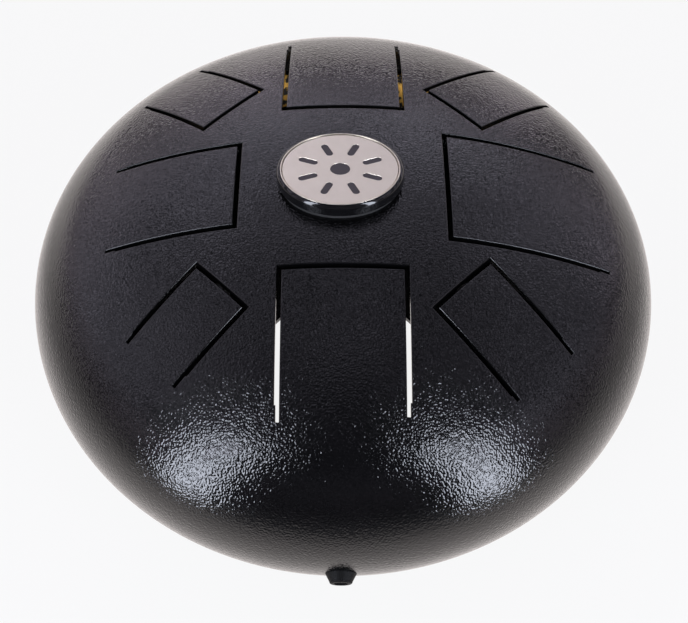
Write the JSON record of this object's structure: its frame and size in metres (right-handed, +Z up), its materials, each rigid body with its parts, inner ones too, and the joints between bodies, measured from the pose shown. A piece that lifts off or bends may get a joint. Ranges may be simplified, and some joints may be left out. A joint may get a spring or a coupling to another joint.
{
  "type": "steel tongue drum",
  "caption": "Round closed steel drum with flexing tongues cut in its domed top, an oval badge, a sound port underneath, side bumpers and rubber feet.",
  "frame": {"origin": "on the floor under the drum's axis, centre of the bottom of its bounding box", "axes": "+Z up along the drum's axis, -Y to the front (the largest front tongue and the single front bumper), +X to the right seen from the front"},
  "size_m": [0.3048, 0.3086, 0.181],
  "materials": {
    "shell_coat": "black powder coat with an orange-peel texture",
    "ring_plate": "yellow zinc plating",
    "badge_black": "gloss black",
    "badge_bright": "satin bright",
    "inlay_dark": "dark enamel",
    "pad_foam": "foam adhesive pad",
    "rubber": "satin black rubber",
    "fastener": "plain zinc-plated steel"
  },
  "bodies": {
    "drum": {"upper_shell": "shell_coat", "lower_shell": "shell_coat", "seam_weld": "shell_coat", "seam_backing_ring": "ring_plate", "badge_base": "badge_black", "badge_bezel": "badge_bright", "badge_plate": "badge_bright", "badge_inlay": "inlay_dark", "badge_pad": "pad_foam", "side_bumper_front": "rubber", "side_bumper_right": "rubber", "side_bumper_left": "rubber", "side_bumper_screws": "fastener", "side_bumper_nuts": "fastener", "foot_front": "rubber", "foot_right": "rubber", "foot_left": "rubber", "foot_washers": "fastener", "foot_screws": "fastener", "foot_bevel_washers": "fastener", "foot_nuts": "fastener"},
    "tongue_front": {"tongue_front": "shell_coat"},
    "tongue_front_left": {"tongue_front_left": "shell_coat"},
    "tongue_left": {"tongue_left": "shell_coat"},
    "tongue_back_left": {"tongue_back_left": "shell_coat"},
    "tongue_back": {"tongue_back": "shell_coat"},
    "tongue_back_right": {"tongue_back_right": "shell_coat"},
    "tongue_right": {"tongue_right": "shell_coat"},
    "tongue_front_right": {"tongue_front_right": "shell_coat"}
  },
  "joints": [
    {"name": "tongue_front_flex", "type": "hinge", "parent": "drum", "child": "tongue_front", "pos_m": [0, -0.10457, 0.14972], "axis": [-1, 0, 0], "range_deg": [-0.4, 0.4], "stiffness_Nm_per_rad": 400},
    {"name": "tongue_front_left_flex", "type": "hinge", "parent": "drum", "child": "tongue_front_left", "pos_m": [-0.0784, -0.0784, 0.14687], "axis": [-0.7071, 0.7071, 0], "range_deg": [-0.4, 0.4], "stiffness_Nm_per_rad": 400},
    {"name": "tongue_left_flex", "type": "hinge", "parent": "drum", "child": "tongue_left", "pos_m": [-0.10337, 0, 0.15024], "axis": [0, 1, 0], "range_deg": [-0.4, 0.4], "stiffness_Nm_per_rad": 400},
    {"name": "tongue_back_left_flex", "type": "hinge", "parent": "drum", "child": "tongue_back_left", "pos_m": [-0.08328, 0.08328, 0.14352], "axis": [0.7071, 0.7071, 0], "range_deg": [-0.4, 0.4], "stiffness_Nm_per_rad": 400},
    {"name": "tongue_back_flex", "type": "hinge", "parent": "drum", "child": "tongue_back", "pos_m": [0, 0.11017, 0.1472], "axis": [1, 0, 0], "range_deg": [-0.4, 0.4], "stiffness_Nm_per_rad": 400},
    {"name": "tongue_back_right_flex", "type": "hinge", "parent": "drum", "child": "tongue_back_right", "pos_m": [0.08787, 0.08787, 0.14009], "axis": [0.7071, -0.7071, 0], "range_deg": [-0.4, 0.4], "stiffness_Nm_per_rad": 400},
    {"name": "tongue_right_flex", "type": "hinge", "parent": "drum", "child": "tongue_right", "pos_m": [0.11677, 0, 0.14402], "axis": [0, -1, 0], "range_deg": [-0.4, 0.4], "stiffness_Nm_per_rad": 400},
    {"name": "tongue_front_right_flex", "type": "hinge", "parent": "drum", "child": "tongue_front_right", "pos_m": [0.08243, -0.08243, 0.14412], "axis": [-0.7071, -0.7071, 0], "range_deg": [-0.4, 0.4], "stiffness_Nm_per_rad": 400}
  ]
}
